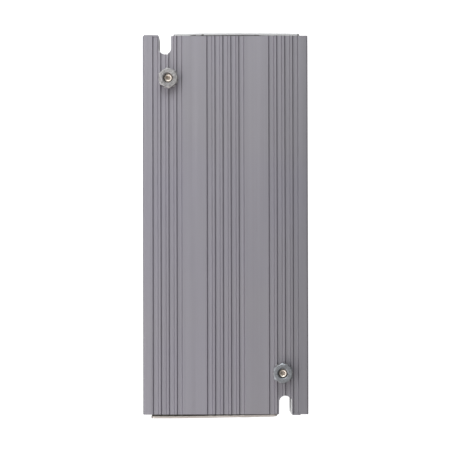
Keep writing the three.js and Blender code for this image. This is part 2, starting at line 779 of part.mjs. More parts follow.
assembly.add(
  mesh("heat_spreader", heatSpreader(), "aluminium"),
  mesh("transistor_clamp_bar", clampBar(), "steel"),
  mesh("clamp_screw", clampScrew(), "steel"),
  mesh("thermal_pad", thermalPad(), "pad"),
);

// ---------------------------------------------------------------- output choke, film capacitor, fuse

const CHOKE = { x: -8.5, y: 40, outer: 12, inner: 7, height: 8, wire: 1.4, halfGap: 2.5 };

function ring(inner, outer, z0, z1) {
  return cut(rodZ(outer, z0, z1, 24), rodZ(inner, z0 - PAST, z1 + PAST, 24));
}

function choke() {
  const { outer, inner, height, wire, halfGap } = CHOKE;
  const group = new THREE.Group();
  const core = ring(inner, outer, wire, wire + height);
  const sleeve = ring(inner - wire, outer + wire, 0, height + 2 * wire);
  const room = ring(inner - CLEAR, outer + CLEAR, wire - CLEAR, wire + height + CLEAR);
  const gap = box([0, 2 * outer], [-halfGap, halfGap], [-PAST, height + 2 * wire + PAST]);
  group.add(
    mesh("choke_core", core, "powderCore"),
    mesh("choke_winding", cut(sleeve, room, gap), "copper"),
  );
  return group;
}

const chokeGroup = choke();
chokeGroup.position.set(CHOKE.x, CHOKE.y, SEAT);
assembly.add(chokeGroup);

const FILM_CAPACITOR = { x: 11, y: 39.5, width: 9, length: 21, height: 13.5, corner: 0.6 };
const FUSE = { x: 20.5, y: 42, z: 3.5, tube: 2.3, cap: 2.6, capLength: 4, half: 10, foot: 0.4 };

function filmCapacitor() {
  const { width, length, height, corner } = FILM_CAPACITOR;
  const outline = roundedRect(-width / 2, width / 2, -length / 2, length / 2, corner);
  return alongZ(outline, 0, height, 2);
}

// A ceramic tube between two end caps, each on a foot.
function fuse() {
  const { z, tube, cap, capLength, half, foot } = FUSE;
  const ends = [-1, 1].map((side) => {
    const span = [side * (half - capLength), side * half].sort((a, b) => a - b);
    const middle = side * (half - capLength / 2);
    const post = box([-foot, foot], [middle - 1, middle + 1], [-z, -tube + foot]);
    return join(rodY(cap, ...span, 12), post);
  });
  return join(rodY(tube, 2 - half, half - 2, 12), ...ends);
}

const filmCapacitorMesh = mesh("film_capacitor", filmCapacitor(), "film");
filmCapacitorMesh.position.set(FILM_CAPACITOR.x, FILM_CAPACITOR.y, SEAT);
const fuseMesh = mesh("fuse", fuse(), "ceramic");
fuseMesh.position.set(FUSE.x, FUSE.y, SEAT + FUSE.z);
assembly.add(filmCapacitorMesh, fuseMesh);

// ---------------------------------------------------------------- grid relay

// The relay stands near the AC end. Its armature is a flat plate hinged on the edge of the yoke, and
// the coil pulls its free end down by the contact gap.
const RELAY = { x: 0, y: 72, halfX: 8, halfY: 7, height: 14, wall: 0.8, plinth: 1.6 };
const COIL = { radius: 3.6, pole: 1.8, poleAbove: 0.6 };
const YOKE = { halfX: 4, thickness: 1.2 };
const ARMATURE = { hinge: 6, z: 10.4, thickness: 0.9, reach: 5.4, halfX: 4.5, gap: 0.8 };

function relayBase() {
  const { halfX, halfY, plinth } = RELAY;
  const { hinge, z, gap } = ARMATURE;
  const foot = plinth - FIT;
  const poleTop = z - gap;
  return join(
    box([-halfX, halfX], [-halfY, halfY], [0, plinth]),
    rodZ(COIL.radius, foot, poleTop - COIL.poleAbove, 16),
    rodZ(COIL.pole, foot, poleTop, 12),
    box([-YOKE.halfX, YOKE.halfX], [hinge - YOKE.thickness, hinge], [foot, z - FIT]),
  );
}

function relayArmature() {
  const { hinge, z, thickness, reach, halfX } = ARMATURE;
  return box([-halfX, halfX], [-reach, hinge], [z, z + thickness]);
}

function relayCover() {
  const { halfX, halfY, height, wall, plinth } = RELAY;
  const outline = roundedRect(-halfX, halfX, -halfY, halfY, wall);
  const outer = alongZ(outline, plinth + CLEAR, height, 2);
  const inner = box(
    [-halfX + wall, halfX - wall],
    [-halfY + wall, halfY - wall],
    [0, height - wall],
  );
  return cut(outer, inner);
}

const relay = new THREE.Group();
relay.position.set(RELAY.x, RELAY.y, SEAT);
relay.add(
  mesh("relay_base", relayBase(), "relayPlastic"),
  mesh("relay_armature", relayArmature(), "steel"),
  mesh("relay_cover", relayCover(), "relayPlastic"),
);
assembly.add(relay);

export default inverter;
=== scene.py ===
"""Looks of the micro inverter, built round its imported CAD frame.

Lengths are in millimetres inside this script and become metres when a mesh is made. The frame has X
across the ribs, Y along them and Z out of the ribbed face. Corner a is at -X +Y, corner b at +X -Y.
"""
import json
import math
import random
from contextlib import contextmanager

import bmesh
import bpy
from mathutils import Matrix, Vector


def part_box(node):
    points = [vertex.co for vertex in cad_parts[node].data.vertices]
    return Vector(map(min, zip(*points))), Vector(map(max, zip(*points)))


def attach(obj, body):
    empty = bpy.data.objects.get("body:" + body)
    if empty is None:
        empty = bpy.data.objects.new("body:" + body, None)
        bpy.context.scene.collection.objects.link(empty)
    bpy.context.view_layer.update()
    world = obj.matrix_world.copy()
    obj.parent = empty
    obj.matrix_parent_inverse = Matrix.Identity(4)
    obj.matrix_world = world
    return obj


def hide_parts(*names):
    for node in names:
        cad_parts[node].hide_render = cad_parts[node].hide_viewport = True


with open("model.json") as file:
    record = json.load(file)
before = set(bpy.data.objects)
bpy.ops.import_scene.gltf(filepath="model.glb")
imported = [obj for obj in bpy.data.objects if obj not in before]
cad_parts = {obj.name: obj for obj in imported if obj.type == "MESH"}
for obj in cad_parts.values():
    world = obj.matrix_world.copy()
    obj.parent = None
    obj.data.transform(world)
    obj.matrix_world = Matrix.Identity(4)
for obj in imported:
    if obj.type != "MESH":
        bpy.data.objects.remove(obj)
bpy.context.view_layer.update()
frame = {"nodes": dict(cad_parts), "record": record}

MM = 0.001
SEED = 11


# ---------------------------------------------------------------- places, from the frame

def box_mm(node):
    low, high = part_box(node)
    return low / MM, high / MM


def plan_centre(node):
    low, high = box_mm(node)
    return (low.x + high.x) / 2, (low.y + high.y) / 2


HOUSING_LOW, HOUSING_HIGH = box_mm("housing_extrusion")
HALF_WIDTH = HOUSING_HIGH.x
TOP = HOUSING_HIGH.z
Y_MIDDLE = (HOUSING_LOW.y + HOUSING_HIGH.y) / 2
END = (HOUSING_HIGH.y - HOUSING_LOW.y) / 2
SIDES = {"a": 1, "b": -1}
ENDS = {"ac": 1, "dc": -1}


# ---------------------------------------------------------------- driving sizes

CUT_PAST = 1.0   # how far a cutter reaches beyond what it cuts

EDGE_RADIUS = 0.6
GROOVE = {"pitch": 4.36, "mouth": 3.2, "floor": 2.15, "depth": 1.0, "lip": 0.12, "root": 0.12}
GROOVE_GROUPS = [(-31.6, 4), (0.13, 5), (31.75, 4)]
DIE_LINE = {"x": 17.3, "half": 0.22, "depth": 0.05}
LABEL_RECESS = {"half": 20.0, "depth": 0.4}

BACK_WALL, TOP_WALL = 3.0, 4.0
BAY_HALF = 26.0
CHANNEL_CELLS = [(28.0, 35.5), (37.5, 40.0)]
PORT = {"radius": 2.9, "hole": 1.5}
PORTS = [(s * x, z) for s in (-1, 1) for x, z in ((24.6, 5.6), (24.6, 23.4), (37.6, 15.0))]
BOARD_GUIDE = {"reach": 27.0, "low": 8.6, "high": 10.6}

SLOT = {
    "x": {"a": 32.85, "b": 32.4}, "half": 3.3, "length": 10.4,
    "rim": 0.22, "roll": 0.35, "mouth": 0.15, "flare": 3.0,
}
END_LIP = {
    "inner": 36.3, "outer": {"a": 44.4, "b": 40.7}, "low": 26.6, "high": 29.5,
    "proud": 0.45, "round": 0.25, "ease": 0.1, "sunk": 0.5,
}
CORNER_ROUND, SAWN_CHAMFER = 0.5, 0.14

EARTH_HOLE, BOLT_SINK = 3.25, 6.0
THREAD = {
    "pitch": 1.0, "flank": 0.42,
    "bolt_root": 2.2, "bolt_crest": 2.48, "nut_crest": 2.57, "nut_root": 2.86,
}
BOLT = {"shank": 2.95, "tip": 1.9, "point": 0.6, "drive": 4.0, "drive_depth": 2.3, "thread_start": 4.5}
# The pit in a bolt's tip, as (radius, height above the tip).
BOLT_PIT = [(0, -2.2), (0.95, -2.25), (1.1, -2.0), (1.2, -0.3), (1.78, -0.05), (1.82, 0.3), (0, 0.3)]
NUT = {
    "flats": 10.0, "turn": {"a": 5.0, "b": 3.0}, "edge": 0.3, "chamfer": 38, "mouth": 0.35,
    "finish": {"a": "zinc", "b": "dull_zinc"},
}
WASHER = {
    "inner": 3.25, "root": 4.7, "tip": 5.5, "teeth": 12, "tooth_share": 0.62,
    "thickness": 0.5, "twist": 0.1,
}

PLATE = {
    "slot_edge": -28.2, "reach": 40.6, "low": 0.8, "high": 29.2, "corner": 1.6, "round": 0.35,
    "inner_ease": 0.12, "drawn": {"ac": 1.6, "dc": 3.6}, "edge_share": 0.3,
    "finish": {"ac": "plate", "dc": "warm_plate"},
}
BOW = {"ac_depth": 0.36, "dc_slope": 0.0147, "dc_start": 24.5}
PRESSED = {"depth": 0.2, "start": 18.5, "ramp": 1.5}
SHEET_GAP = 0.03   # the least room left between a bent sheet and what is behind it
WINDOW_GAP = 0.08
GASKET = {
    "inset": 0.35, "corner": 1.4, "window": (-20.5, 20.5, 4, 26, 2), "hole": 2.0, "near": 0.04,
    "wave": 0.22, "ripples": (0.55, 0.9, 1.7),
}
# Where a gasket is squeezed up past its plate's upper edge, as (start, stop, how far out it reaches).
GASKET_SPILLS = {"ac": [(-19.1, -15.9, 0.7), (-12.9, -11.7, 0.95), (15.8, 18.5, 0.4)], "dc": []}
SOCKETS = {
    "ac": {"body": 7.0, "bore": 5.6, "depth": 12.0, "keys": (90, 215, 325)},
    "dc": {"body": 6.0, "bore": 4.2, "depth": 14.0, "keys": (0, 180)},
}
KEYWAY = {"radius": 0.7, "out": 0.55, "length": 7.0}
VENT = {"neck": 3.6, "holes": 6, "circle": 1.9, "hole": 0.32}
LIGHT_PIPE = {"neck": 1.6, "dome": 0.35}
SCREW = {"head": 2.75, "shank": 1.4, "length": 12.0, "drive": 2.0, "drive_depth": 1.1, "sink": 0.04}
SCREWS_AN_END = 5


# ---------------------------------------------------------------- mesh making

def link(name, data):
    """A new object in the scene that shows a mesh, a lamp or a camera."""
    piece = bpy.data.objects.new(name, data)
    bpy.context.scene.collection.objects.link(piece)
    return piece


def object_from(name, bm):
    """A linked object from a bmesh in millimetres."""
    bmesh.ops.recalc_face_normals(bm, faces=bm.faces)
    bm.transform(Matrix.Scale(MM, 4))
    mesh = bpy.data.meshes.new(name)
    bm.to_mesh(mesh)
    bm.free()
    return link(name, mesh)


@contextmanager
def editing(piece):
    """A piece's mesh as a bmesh, written back when the block ends. Its lengths are in metres."""
    bm = bmesh.new()
    bm.from_mesh(piece.data)
    yield bm
    bm.to_mesh(piece.data)
    bm.free()


def arc(centre, radius, start, end, steps):
    """Points on an arc, in degrees from start to end, both included."""
    for i in range(steps + 1):
        angle = math.radians(start + (end - start) * i / steps)
        yield (centre[0] + radius * math.cos(angle), centre[1] + radius * math.sin(angle))


def filleted(corners, steps=4):
    """An outline of (x, y, radius) corners with its corners rounded."""
    outline = []
    count = len(corners)
    for i, (x, y, radius) in enumerate(corners):
        here = Vector((x, y))
        before = Vector(corners[i - 1][:2]) - here
        after = Vector(corners[(i + 1) % count][:2]) - here
        if radius <= 0:
            outline.append((x, y))
            continue
        half = before.angle(after) / 2
        reach = radius / math.tan(half)
        start = here + before.normalized() * reach
        end = here + after.normalized() * reach
        centre = here + (before.normalized() + after.normalized()).normalized() * (radius / math.sin(half))
        first, last = start - centre, end - centre
        sweep = first.angle_signed(last)
        for k in range(steps + 1):
            turned = Matrix.Rotation(-sweep * k / steps, 2) @ first
            outline.append(tuple(centre + turned))
    return outline


def rounded_rect(x0, x1, y0, y1, radius, steps=4):
    return filleted([(x0, y0, radius), (x1, y0, radius), (x1, y1, radius), (x0, y1, radius)], steps)


def loft(name, rings, cyclic=False):
    """A closed solid through rings of 3-D points with equal counts, capped at both ends."""
    bm = bmesh.new()
    loops = [[bm.verts.new(point) for point in ring] for ring in rings]
    count = len(loops[0])
    pairs = list(zip(loops, loops[1:]))
    if cyclic:
        pairs.append((loops[-1], loops[0]))
    for low, high in pairs:
        for i in range(count):
            j = (i + 1) % count
            bm.faces.new((low[i], low[j], high[j], high[i]))
    if not cyclic:
        bm.faces.new(loops[0])
        bm.faces.new(loops[-1])
    return object_from(name, bm)


def prism_z(name, outline, z0, z1):
    """A solid on an outline in X and Y. prism_y() does the same in X and Z."""
    return loft(name, [[(x, y, z) for x, y in outline] for z in (z0, z1)])


def prism_y(name, outline, y0, y1):
    return loft(name, [[(x, y, z) for x, z in outline] for y in (y0, y1)])


def block(name, x, y, z):
    return prism_z(name, [(x[0], y[0]), (x[1], y[0]), (x[1], y[1]), (x[0], y[1])], *z)


def turned(name, profile, axis="Z", at=(0, 0, 0), segments=48):
    """A solid of revolution. The profile is (radius, height) points from the axis to the axis."""
    place = Vector(at)
    bm = bmesh.new()

    def point(radius, height, angle):
        u, v = radius * math.cos(angle), radius * math.sin(angle)
        return place + Vector((u, v, height) if axis == "Z" else (u, height, v))

    rings = []
    for radius, height in profile:
        if radius < 1e-6:
            rings.append([bm.verts.new(point(0, height, 0))])
        else:
            angles = [2 * math.pi * i / segments for i in range(segments)]
            rings.append([bm.verts.new(point(radius, height, angle)) for angle in angles])
    for low, high in zip(rings, rings[1:]):
        for i in range(segments):
            j = (i + 1) % segments
            corners = [low[i % len(low)], low[j % len(low)], high[j % len(high)], high[i % len(high)]]
            unique = list(dict.fromkeys(corners))
            if len(unique) > 2:
                bm.faces.new(unique)
    return object_from(name, bm)


def rod(name, radius, y0, y1, at, segments=32):
    """A plain cylinder along Y."""
    return turned(name, [(0, y0), (radius, y0), (radius, y1), (0, y1)], "Y", at, segments)


def bake_modifiers(piece):
    """Puts what the modifiers make into the piece's own mesh."""
    shown = piece.evaluated_get(bpy.context.evaluated_depsgraph_get())
    mesh = bpy.data.meshes.new_from_object(shown)
    piece.modifiers.clear()
    piece.data = mesh


def boolean(piece, tools, operation="DIFFERENCE"):
    """Cuts, joins or intersects piece with each tool in turn, and removes the tools."""
    for tool in tools:
        modifier = piece.modifiers.new("boolean", "BOOLEAN")
        modifier.operation = operation
        modifier.solver = "EXACT"
        modifier.object = tool
    bpy.context.view_layer.update()
    bake_modifiers(piece)
    for tool in tools:
        bpy.data.objects.remove(tool)


def tidy(piece, merge=0.0005):
    """Welds what a boolean left split, and drops edges and faces of no size."""
    with editing(piece) as bm:
        bmesh.ops.remove_doubles(bm, verts=bm.verts, dist=merge * MM)
        bmesh.ops.dissolve_degenerate(bm, dist=merge * MM, edges=bm.edges)
        bmesh.ops.recalc_face_normals(bm, faces=bm.faces)


def smooth(piece, degrees=32):
    """Rounds the shading over shallow edges, and keeps the broad faces flat."""
    piece.data.shade_smooth()
    piece.data.set_sharp_from_angle(angle=math.radians(degrees))
    weighted = piece.modifiers.new("weighted", "WEIGHTED_NORMAL")
    weighted.weight = 100
    weighted.keep_sharp = True
    bpy.context.view_layer.update()
    bake_modifiers(piece)


def hexagon(flats, turn=0.0, edge=0.0, steps=4):
    """A hexagon with corners along Y before its turn, in degrees."""
    radius = flats / math.sqrt(3)
    corners = []
    for i in range(6):
        angle = math.radians(30 + turn + 60 * i)
        corners.append((radius * math.cos(angle), radius * math.sin(angle), edge))
    return filleted(corners, steps)


def shifted(outline, dx, dy):
    return [(x + dx, y + dy) for x, y in outline]


def settle(piece, body, node, slot, finish=None):
    """Rides a finished piece on its body in place of its CAD node, in its slot's look or another."""
    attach(piece, body)
    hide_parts(node)
    piece.data.materials.clear()
    piece.data.materials.append(MATERIALS[finish or slot])


# ---------------------------------------------------------------- materials

class Nodes:
    """A small builder for one Principled material."""

    def __init__(self, name, roughness=0.5, metallic=0.0):
        self.material = bpy.data.materials.new(name)
        self.material.use_nodes = True
        self.tree = self.material.node_tree
        self.shader = self.tree.nodes["Principled BSDF"]
        self.shader.inputs["Roughness"].default_value = roughness
        self.shader.inputs["Metallic"].default_value = metallic
        self.coordinates = self.tree.nodes.new("ShaderNodeTexCoord").outputs["Object"]

    def link(self, source, target):
        self.tree.links.new(source, target)

    def stretched(self, scale):
        mapping = self.tree.nodes.new("ShaderNodeMapping")
        mapping.inputs["Scale"].default_value = scale
        self.link(self.coordinates, mapping.inputs["Vector"])
        return mapping.outputs["Vector"]

    def noise(self, scale, stretch=(1, 1, 1), detail=3.0, roughness=0.55):
        node = self.tree.nodes.new("ShaderNodeTexNoise")
        node.inputs["Scale"].default_value = scale
        node.inputs["Detail"].default_value = detail
        node.inputs["Roughness"].default_value = roughness
        self.link(self.stretched(stretch), node.inputs["Vector"])
        return node.outputs["Fac"]

    def ramp(self, factor, stops):
        node = self.tree.nodes.new("ShaderNodeValToRGB")
        elements = node.color_ramp.elements
        for i, (position, color) in enumerate(stops):
            element = elements[i] if i < 2 else elements.new(position)
            element.position = position
            element.color = (*color, 1)
        self.link(factor, node.inputs["Fac"])
        return node.outputs["Color"]

    def spread(self, factor, low, high, start=0.3, end=0.7):
        node = self.tree.nodes.new("ShaderNodeMapRange")
        node.inputs["From Min"].default_value = start
        node.inputs["From Max"].default_value = end
        node.inputs["To Min"].default_value = low
        node.inputs["To Max"].default_value = high
        self.link(factor, node.inputs["Value"])
        return node.outputs["Result"]

    def multiply(self, a, b):
        node = self.tree.nodes.new("ShaderNodeMix")
        node.data_type = "RGBA"
        node.blend_type = "MULTIPLY"
        node.inputs["Factor"].default_value = 1.0
        self.link(a, node.inputs["A"])
        self.link(b, node.inputs["B"])
        return node.outputs["Result"]

    def color(self, output):
        self.link(output, self.shader.inputs["Base Color"])

    def rough(self, output):
        self.link(output, self.shader.inputs["Roughness"])

    def along(self, axis, magnitude=False):
        """One object coordinate, in metres, or its size without its sign."""
        split = self.tree.nodes.new("ShaderNodeSeparateXYZ")
        self.link(self.coordinates, split.inputs["Vector"])
        if not magnitude:
            return split.outputs[axis]
        return self.math("ABSOLUTE", split.outputs[axis])

    def math(self, operation, *values):
        node = self.tree.nodes.new("ShaderNodeMath")
        node.operation = operation
        for value, socket in zip(values, node.inputs):
            self.link(value, socket)
        return node.outputs["Value"]

    def bump(self, height, strength, distance):
        node = self.tree.nodes.new("ShaderNodeBump")
        node.inputs["Strength"].default_value = strength
        node.inputs["Distance"].default_value = distance * MM
        self.link(height, node.inputs["Height"])
        self.link(node.outputs["Normal"], self.shader.inputs["Normal"])


def tint(color, factor):
    return tuple(min(1.0, c * factor) for c in color)


def mottled(name, color, roughness, metallic=0.0, vary=0.08, scale=400, grain=2500, depth=0.02,
            stretch=(1, 1, 1)):
    """A plain material with slow colour variation and a fine grain."""
    nodes = Nodes(name, roughness, metallic)
    slow = nodes.noise(scale, stretch)
    nodes.color(nodes.ramp(slow, [(0.3, tint(color, 1 - vary)), (0.7, tint(color, 1 + vary))]))
    fine = nodes.noise(grain, stretch, detail=2)
    nodes.rough(nodes.spread(fine, roughness - 0.07, roughness + 0.07))
    nodes.bump(fine, 0.25, depth)
    return nodes.material


def sheet_metal(name, color):
    """Rolled sheet, its grain drawn out along X."""
    return mottled(name, color, 0.5, 0.9, 0.05, 300, 2200, 0.015, (0.02, 1, 1))


def extruded_aluminium():
    """Matt anodised extrusion: die streaks run along Y, over a fine etched grain.

    Painted shade darkens it towards +X, away from the lamps on the left, and along the two upper arrises,
    where their rounded edges would fall into shade.
    """
    nodes = Nodes("extrusion", 0.5, 0.9)
    along = (1, 0.004, 1)
    streaks = nodes.noise(900, along, detail=4, roughness=0.7)
    bands = nodes.noise(160, along, detail=2)
    cloud = nodes.noise(14, detail=3)
    base = nodes.ramp(streaks, [(0.25, (0.385, 0.37, 0.405)), (0.75, (0.435, 0.418, 0.457))])
    broad = nodes.ramp(bands, [(0.3, (0.955, 0.955, 0.96)), (0.7, (1, 1, 1))])
    tone = nodes.ramp(cloud, [(0.35, (0.98, 0.975, 1.0)), (0.65, (1, 0.995, 0.985))])
    color = nodes.multiply(nodes.multiply(base, broad), tone)
    # Painted shade: the colour darkens towards +X, where less lamp light falls.
    drift = nodes.spread(nodes.along("X"), 0, 1, 0.55 * HALF_WIDTH * MM, HALF_WIDTH * MM)
    color = nodes.multiply(color, nodes.ramp(drift, [(0.0, (1, 1, 1)), (1.0, (0.86, 0.87, 0.86))]))
    # Painted shade along the two upper arrises, where the rounded edges turn away from the light.
    near_side = nodes.spread(nodes.along("X", True), 0, 1, (HALF_WIDTH - 0.75) * MM, (HALF_WIDTH - 0.2) * MM)
    near_top = nodes.spread(nodes.along("Z"), 0, 1, (TOP - 1.6) * MM, (TOP - 0.6) * MM)
    arris_shade = nodes.math("MULTIPLY", near_side, near_top)
    nodes.color(nodes.multiply(color, nodes.ramp(arris_shade, [(0.0, (1, 1, 1)), (1.0, (0.68, 0.69, 0.70))])))
    grain = nodes.noise(3500, detail=2)
    nodes.rough(nodes.spread(streaks, 0.45, 0.56))
    nodes.bump(nodes.math("ADD", streaks, grain), 0.18, 0.02)
    return nodes.material


def cut_aluminium():
    """Bare metal where the extrusion was sawn and punched, with fine tool marks."""
    nodes = Nodes("cut_aluminium", 0.5, 0.35)
    marks = nodes.noise(700, (1, 1, 0.15), detail=3, roughness=0.7)
    nodes.color(nodes.ramp(marks, [(0.3, (0.50, 0.49, 0.50)), (0.7, (0.60, 0.59, 0.60))]))
    nodes.rough(nodes.spread(marks, 0.42, 0.6))
    nodes.bump(marks, 0.3, 0.04)
    return nodes.material


def painted_light_aluminium():
    """Painted light: a lighter, more diffuse copy of the bare metal for the slot walls that face -X, towards
    the lamps on the left.
    """
    nodes = Nodes("painted_light_aluminium", 0.55, 0.1)
    marks = nodes.noise(600, (1, 1, 0.15), detail=3, roughness=0.7)
    nodes.color(nodes.ramp(marks, [(0.3, (0.80, 0.80, 0.80)), (0.7, (0.9, 0.9, 0.9))]))
    nodes.rough(nodes.spread(marks, 0.5, 0.65))
    nodes.bump(marks, 0.3, 0.03)
    return nodes.material


def yellow_zinc():
    """Yellow passivated zinc, drifting between a darker and a paler straw."""
    nodes = Nodes("yellow_zinc", 0.4, 1.0)
    drift = nodes.noise(420, detail=3)
    stops = [(0.3, (0.60, 0.53, 0.46)), (0.7, (0.78, 0.72, 0.65)), (0.5, (0.70, 0.63, 0.56))]
    nodes.color(nodes.ramp(drift, stops))
    fine = nodes.noise(3000, detail=2)
    nodes.rough(nodes.spread(fine, 0.34, 0.48))
    nodes.bump(fine, 0.2, 0.01)
    return nodes.material


def wound_wire():
    """Enamelled copper: bands of wire turns."""
    nodes = Nodes("winding", 0.35, 0.8)
    wave = nodes.tree.nodes.new("ShaderNodeTexWave")
    wave.wave_type = "BANDS"
    wave.bands_direction = "Z"
    wave.inputs["Scale"].default_value = 420
    wave.inputs["Distortion"].default_value = 0.6
    nodes.link(nodes.coordinates, wave.inputs["Vector"])
    nodes.color(nodes.ramp(wave.outputs["Fac"], [(0.0, (0.20, 0.07, 0.03)), (0.6, (0.62, 0.27, 0.11))]))
    nodes.bump(wave.outputs["Fac"], 0.6, 0.2)
    return nodes.material


def solder_mask():
    """Green laminate with tracks that show through the mask."""
    nodes = Nodes("board", 0.35)
    cells = nodes.tree.nodes.new("ShaderNodeTexVoronoi")
    cells.distance = "CHEBYCHEV"
    cells.feature = "DISTANCE_TO_EDGE"
    cells.inputs["Scale"].default_value = 260
    nodes.link(nodes.coordinates, cells.inputs["Vector"])
    stops = [(0.02, (0.03, 0.17, 0.07)), (0.08, (0.015, 0.10, 0.045))]
    nodes.color(nodes.ramp(cells.outputs["Distance"], stops))
    nodes.bump(cells.outputs["Distance"], 0.2, 0.03)
    return nodes.material


MATERIALS = {
    "extrusion": extruded_aluminium(),
    "cut_aluminium": cut_aluminium(),
    # Painted light for the slot walls that face the lamps.
    "painted_light_aluminium": painted_light_aluminium(),
    "plate": sheet_metal("plate", (0.66, 0.655, 0.655)),
    "warm_plate": sheet_metal("warm_plate", (0.655, 0.60, 0.562)),
    "gasket": mottled("gasket", (0.05, 0.045, 0.034), 0.85, 0, 0.25, 500, 2500, 0.05),
    "zinc": mottled("zinc", (0.505, 0.49, 0.487), 0.42, 1.0, 0.34, 800, 2600, 0.04),
    "dull_zinc": mottled("dull_zinc", (0.37, 0.383, 0.405), 0.43, 1.0, 0.26, 900, 2600, 0.03),
    "yellow_zinc": yellow_zinc(),
    "contact": mottled("contact", (0.78, 0.64, 0.38), 0.28, 1.0, 0.05),
    "black_plastic": mottled("black_plastic", (0.022, 0.022, 0.024), 0.5, 0, 0.2, 300, 2600, 0.03),
    "clear_plastic": mottled("clear_plastic", (0.62, 0.68, 0.62), 0.15, 0, 0.04),
    "label": mottled("label", (0.55, 0.55, 0.53), 0.45, 0, 0.02, 120, 2000, 0.01),
    "board": solder_mask(),
    "potting": mottled("potting", (0.03, 0.03, 0.033), 0.6, 0, 0.2, 90),
    "capacitor": mottled("capacitor", (0.02, 0.025, 0.035), 0.35, 0, 0.15),
    "ferrite": mottled("ferrite", (0.04, 0.04, 0.042), 0.6, 0.2, 0.2),
    "winding": wound_wire(),
    "bobbin": mottled("bobbin", (0.30, 0.20, 0.06), 0.5, 0, 0.1),
    "package": mottled("package", (0.014, 0.014, 0.016), 0.55, 0, 0.2),
    "aluminium_block": mottled(
        "aluminium_block", (0.62, 0.62, 0.64), 0.35, 1.0, 0.05, 300, 2400, 0.02, (0.05, 1, 1),
    ),
    "thermal_pad": mottled("thermal_pad", (0.35, 0.45, 0.55), 0.8, 0, 0.05),
    "steel": mottled("steel", (0.45, 0.46, 0.48), 0.32, 1.0, 0.06),
    "film_case": mottled("film_case", (0.42, 0.06, 0.05), 0.4, 0, 0.08),
    "powder_core": mottled("powder_core", (0.12, 0.24, 0.15), 0.55, 0, 0.12),
    "ceramic": mottled("ceramic", (0.66, 0.63, 0.55), 0.4, 0, 0.05),
    "relay_plastic": mottled("relay_plastic", (0.03, 0.08, 0.20), 0.4, 0, 0.1),
}

for entry in frame["record"]["subparts"]:
    node = frame["nodes"][entry["node"]]
    node.data.materials.clear()
    node.data.materials.append(MATERIALS[entry["material_slot"]])


# ---------------------------------------------------------------- housing

def groove_centres():
    for centre, count in GROOVE_GROUPS:
        for i in range(count):
            yield centre + (i - (count - 1) / 2) * GROOVE["pitch"]


def profile():
    """The extrusion's outline in X and Z, with its grooves, die lines and label recess."""
    recess, deep = LABEL_RECESS["half"], LABEL_RECESS["depth"]
    corners = [
        (-HALF_WIDTH, 0, EDGE_RADIUS), (-recess - deep, 0, 0), (-recess, deep, 0),
        (recess, deep, 0), (recess + deep, 0, 0), (HALF_WIDTH, 0, EDGE_RADIUS),
        (HALF_WIDTH, TOP, EDGE_RADIUS),
    ]
    mouth, floor, bottom = GROOVE["mouth"] / 2, GROOVE["floor"] / 2, TOP - GROOVE["depth"]
    features = [(x, "groove") for x in groove_centres()]
    features += [(side * DIE_LINE["x"], "line") for side in (-1, 1)]
    for x, kind in sorted(features, reverse=True):
        if kind == "groove":
            corners += [
                (x + mouth, TOP, GROOVE["lip"]), (x + floor, bottom, GROOVE["root"]),
                (x - floor, bottom, GROOVE["root"]), (x - mouth, TOP, GROOVE["lip"]),
            ]
        else:
            half, depth = DIE_LINE["half"], DIE_LINE["depth"]
            corners += [(x + half, TOP, 0), (x, TOP - depth, 0), (x - half, TOP, 0)]
    corners.append((-HALF_WIDTH, TOP, EDGE_RADIUS))
    return filleted(corners, 4)


def slot_outline(corner, grow, short):
    """The slot in X and Y, open past the end and eased at its mouth, wider by grow, shallower by short."""
    side = SIDES[corner]
    half = SLOT["half"] + grow
    inner = END - SLOT["length"] + SLOT["half"] + short
    mouth, flare = SLOT["mouth"], SLOT["flare"]
    wide = half + mouth + flare
    middle = -SLOT["x"][corner]
    outline = [(middle - wide, END + flare), (middle - half, END - mouth)]
    outline += list(arc((middle, inner), half, 180, 360, 24))
    outline += [(middle + half, END - mouth), (middle + wide, END + flare)]
    return [(side * x, side * y + Y_MIDDLE) for x, y in outline]


def slot_cutter(corner):
    """The punched slot, its edges eased, and rolled over at the round end where the punch went in."""
    rim, roll = SLOT["rim"], SLOT["roll"]
    levels = [
        (-CUT_PAST, rim, roll), (0, rim, roll), (rim, 0, roll),
        (TOP - rim, 0, roll), (TOP, rim, 0), (TOP + CUT_PAST, rim, 0),
    ]
    rings = [[(x, y, z) for x, y in slot_outline(corner, grow, short)] for z, grow, short in levels]
    return loft("cutter", rings)


def end_lip(corner):
    """A low strip on the end of the top wall, outside the slot."""
    side = SIDES[corner]
    inner, outer = END_LIP["inner"], END_LIP["outer"][corner]
    low, high = END_LIP["low"], END_LIP["high"]
    proud, ease = END_LIP["proud"], END_LIP["ease"]
    centre = ((inner + outer) / 2, (low + high) / 2)
    outline = rounded_rect(inner, outer, low, high, END_LIP["round"])
    rings = []
    for out, inset in ((-END_LIP["sunk"], 0.0), (proud - ease, 0.0), (proud, ease)):
        ring = []
        for x, z in outline:
            x -= math.copysign(inset, x - centre[0])
            z -= math.copysign(inset, z - centre[1])
            ring.append((-side * x, Y_MIDDLE + side * (END + out), z))
        rings.append(ring)
    return loft("lip", rings)


def bare_cuts(piece):
    """Gives the sawn ends and the punched slots bare metal, with painted light where a slot's wall faces -X,
    towards the lamps.
    """
    cut, painted_light_index = 1, 2
    piece.data.materials.append(MATERIALS["cut_aluminium"])
    piece.data.materials.append(MATERIALS["painted_light_aluminium"])
    near = 0.2
    for face in piece.data.polygons:
        x, y, _ = face.center / MM
        from_middle = abs(y - Y_MIDDLE)
        sawn = abs(face.normal.y) > 0.9 and from_middle > END - 1
        corner = "a" if y > Y_MIDDLE else "b"
        off_slot = abs(x + SIDES[corner] * SLOT["x"][corner])
        in_slot = off_slot < SLOT["half"] + near and from_middle > END - SLOT["length"] - near
        punched = in_slot and abs(face.normal.z) < 0.97
        # Painted light: a slot wall facing -X, towards the lamps, takes the lighter copy of the bare metal.
        if punched and face.normal.x < -0.1:
            face.material_index = painted_light_index
        elif sawn or punched:
            face.material_index = cut


